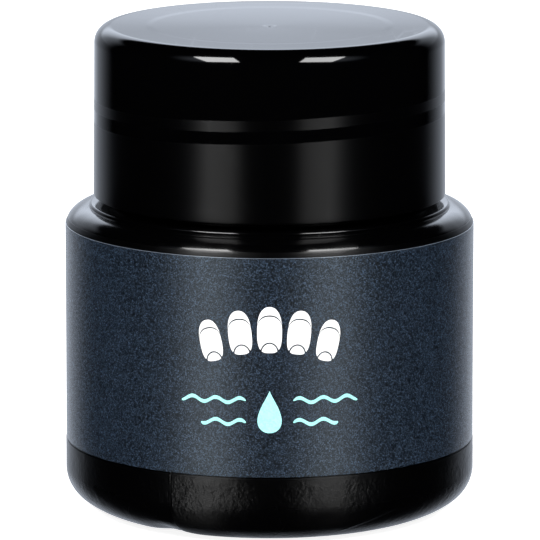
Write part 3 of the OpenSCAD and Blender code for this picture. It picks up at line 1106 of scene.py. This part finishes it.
def cap_plastic():
    look, tree, shader = material("cap_plastic", IOR=1.5, Anisotropic=0.985, Anisotropic_Rotation=0.25)
    upright_grain(tree, shader)
    marks = times(tree, use(tree, HAIRLINES, Spacing_mm=9.0, Width=0.012), CAP_MARKS)
    rough = plus(tree, ramp(tree, band_mask(tree), 0, 1, CAP_POLISHED, CAP_SATIN), marks)
    dust = use(tree, SPECKS, Spacing_mm=1.6, Size=0.11, Share=0.03)
    rough = calc(tree, "MAXIMUM", rough, times(tree, dust, DUST_ROUGH))
    wire(tree, rough, shader.inputs["Roughness"])
    wire(tree, mix_colour(tree, dust, BLACK, DUST_GREY), shader.inputs["Base Color"])
    bump(tree, shader, use(tree, WAVES, Wave_Size_mm=9.0, Peel_Size_mm=1.5, Peel_Share=0.1), 0.02, 0.3)
    return look


dress(cap, "cap_body", "cap_plastic", cap_plastic(), "cap")

# %% [markdown]
# Under the cap a foam plug fills the jar. It is squeezed in through the neck, so its top is
# crowned, and a finger goes down the hole in its middle. Foam is bubbles, and bump alone would
# leave the rim of the hole a clean line. So the outline is turned with close points and every
# bubble that the cut has opened is a real dent, sunk inwards from the surface.

# %% Foam outline
foam_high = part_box("sponge")[1]
FOAM_CLEAR = 0.3
FOAM_DROP, FOAM_CROWN = 7.0, 1.5
FINGER_R, FINGER_LIP_R, LIP_DROP = 7.0, 1.5, 0.25
FOAM_R = foam_high.x / MM
MOUTH_R = BORE_R - FOAM_CLEAR
FOAM_EDGE_Z = RIM_Z - FOAM_DROP
CROWN_R = (MOUTH_R ** 2 + FOAM_CROWN ** 2) / (2 * FOAM_CROWN)
CROWN_Z = FOAM_EDGE_Z + FOAM_CROWN
LIP_R, LIP_Z = FINGER_R + FINGER_LIP_R, CROWN_Z - FINGER_LIP_R - LIP_DROP
FOAM_BASE_Z, FINGER_FINE_Z, EDGE_GAP = 5, 36, 0.3
FOAM_STEP, NARROW_STEP, HOLE_STEP, TOP_STEPS = 1.0, 0.8, 0.3, 48
SQUEEZE_ARC_STEP, LIP_ARC_STEP = 8, 9


def crown_z(r):
    return CROWN_Z - CROWN_R + math.sqrt(CROWN_R ** 2 - r ** 2)


base = [(r, z) for r, z in body_line(WALL + FOAM_CLEAR) if FINGER_R < r < FOAM_R and z < FOAM_BASE_Z]
squeeze_r = FOAM_R - MOUTH_R
squeeze_z = SHOULDER_Z - WALL - FOAM_CLEAR - squeeze_r
foam_line = [(FINGER_R, base[0][1])] + base + [(FOAM_R, base[-1][1] + 0.2)]
foam_line += run(foam_line[-1], (FOAM_R, squeeze_z), FOAM_STEP)
foam_line += arc(MOUTH_R, squeeze_z, squeeze_r, 0, 90, SQUEEZE_ARC_STEP)[1:]
foam_line += run(foam_line[-1], (MOUTH_R, FOAM_EDGE_Z - 2 * EDGE_GAP), NARROW_STEP)
foam_line += [(MOUTH_R, FOAM_EDGE_Z - EDGE_GAP)]
for i in range(TOP_STEPS + 1):
    r = MOUTH_R + (LIP_R - MOUTH_R) * i / TOP_STEPS
    foam_line.append((r, min(crown_z(r), LIP_Z + FINGER_LIP_R)))
foam_line += arc(LIP_R, LIP_Z, FINGER_LIP_R, 90, 180, LIP_ARC_STEP)[1:]
foam_line += run(foam_line[-1], (FINGER_R, FINGER_FINE_Z), HOLE_STEP)
foam_line += run((FINGER_R, FINGER_FINE_Z), (FINGER_R, base[0][1] + 0.5), NARROW_STEP)
print("foam outline:", len(foam_line), "points")

# %% Foam shape
PORES = ((1.15, 0.40, 0.42), (0.62, 0.36, 0.16))
PORE_LEAST, PORE_WANDER, PORE_SCALE = 0.08, 0.08, 0.2
FOAM_SHARP = 80


def pore_depth(p):
    """How deep the opened bubbles are at a point, in mm."""
    deep = PORE_LEAST + PORE_WANDER * noise.noise(p * PORE_SCALE)
    for size, share, depth in PORES:
        gap = noise.voronoi(p / size)[0][0]
        deep += depth * max(0.0, 1 - (gap / share) ** 2)
    return deep


def foam_shape(r, z, a):
    """Sinks each point into the foam, from whichever side of it the point lies on."""
    deep = pore_depth(Vector((r * math.cos(a), r * math.sin(a), z)))
    if r < LIP_R and z > LIP_Z:
        far = math.hypot(LIP_R - r, z - LIP_Z)
        return r + deep * (LIP_R - r) / far, z - deep * (z - LIP_Z) / far
    if r < FINGER_R + ON_FACE:
        return r + deep, z
    if z > FOAM_EDGE_Z - ON_FACE:
        return r, z - deep
    if z < FOAM_BASE_Z:
        return r, z + deep
    return r - deep, z


foam = turned("foam_plug", foam_line, foam_shape, FOAM_SHARP)

# %% Foam look
# The darker pore colour is painted shade in the hollows of the opened bubbles.
PAINTED_PORE_SHADE = (0.42, 0.39, 0.33, 1)
WET_FOAM, DRY_FOAM = (0.62, 0.58, 0.50, 1), (0.80, 0.77, 0.70, 1)
WET_ROUGH, DRY_ROUGH = 0.72, 0.92
FOAM_CELL, PATCH_SCALE = 0.5, 120


def foam_look():
    look, tree, shader = material("foam", IOR=1.4, Sheen_Weight=0.15, Sheen_Roughness=0.6)
    pore_relief_and_shade = ramp(tree, cells(tree, place(tree), FOAM_CELL)["Distance"], 0.15, 0.5)
    patches = ramp(tree, noise_value(tree, place(tree), PATCH_SCALE, 3.0), 0.35, 0.65)
    damp = mix_colour(tree, patches, WET_FOAM, DRY_FOAM)
    # The middle of each cell is sunk by the bump and painted darker, as painted shade in the pore.
    wire(tree, mix_colour(tree, pore_relief_and_shade, PAINTED_PORE_SHADE, damp), shader.inputs["Base Color"])
    wire(tree, ramp(tree, patches, 0, 1, WET_ROUGH, DRY_ROUGH), shader.inputs["Roughness"])
    bump(tree, shader, pore_relief_and_shade, 0.12, 0.8)
    return look


dress(foam, "jar_body", "foam", foam_look(), "sponge")

# %% [markdown]
# A wad of white foamed plastic lies in the top of the cap and seals on the rim of the neck. It
# could be a plain disc, but a used one always carries the print of that rim, a shallow ring where
# it was pressed. The ring is part of the turned outline.

# %% Wad
wad_low, wad_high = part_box("cap_liner")
WAD_R = wad_high.x / MM
WAD_LOW, WAD_HIGH = wad_low.z / MM, wad_high.z / MM
PRINT_DEPTH = 0.14
PRINT_Z = WAD_LOW + PRINT_DEPTH
PRINT_LIP, PRINT_IN, PRINT_OUT = BORE_R - 0.25, BORE_R + 0.05, NECK_R - 0.2
WAD_EDGE = 0.12
WAD_STEP, PRINT_STEP = 0.8, 0.3
WAD_DENT, DENT_SCALE = 0.04, 0.4
wad_line = [(0, WAD_LOW)] + run((0, WAD_LOW), (PRINT_LIP, WAD_LOW), WAD_STEP) + [(PRINT_IN, PRINT_Z)]
wad_line += run(wad_line[-1], (PRINT_OUT, PRINT_Z), PRINT_STEP)
wad_line += [(NECK_R, WAD_LOW + WAD_EDGE), (WAD_R, WAD_LOW + 2 * WAD_EDGE)]
wad_line += [(WAD_R, WAD_HIGH - WAD_EDGE), (WAD_R - WAD_EDGE, WAD_HIGH)]
wad_line += run(wad_line[-1], (0, WAD_HIGH), WAD_STEP)


def wad_shape(r, z, a):
    dent = WAD_DENT * noise.noise(Vector((r * math.cos(a), r * math.sin(a), z)) * DENT_SCALE)
    return r, z + (abs(dent) if z < (WAD_LOW + WAD_HIGH) / 2 else 0.0)


wad = turned("sealing_wad", wad_line, wad_shape)

# %% Wad look
# The darker wad colour is painted shade in the small dimples of the foam's cells.
PAINTED_WAD_DIMPLE_SHADE, WAD_WHITE = (0.78, 0.78, 0.76, 1), (0.88, 0.88, 0.86, 1)
WAD_STAIN = (0.80, 0.78, 0.72, 1)
WAD_ROUGH_LOW, WAD_ROUGH_HIGH = 0.5, 0.62
WAD_CELL, STAIN_SCALE = 0.35, 90


def wad_look():
    look, tree, shader = material("liner_foam", IOR=1.45)
    skin = ramp(tree, cells(tree, place(tree), WAD_CELL)["Distance"], 0.1, 0.6)
    stain = ramp(tree, noise_value(tree, place(tree), STAIN_SCALE, 3.0), 0.4, 0.75)
    # The middle of each cell is sunk by the bump and painted darker, as painted shade in the dimple.
    clean = mix_colour(tree, skin, PAINTED_WAD_DIMPLE_SHADE, WAD_WHITE)
    wire(tree, mix_colour(tree, stain, clean, WAD_STAIN), shader.inputs["Base Color"])
    wire(tree, ramp(tree, skin, 0, 1, WAD_ROUGH_LOW, WAD_ROUGH_HIGH), shader.inputs["Roughness"])
    bump(tree, shader, skin, 0.04, 0.5)
    return look


dress(wad, "wad_body", "liner_foam", wad_look(), "cap_liner")
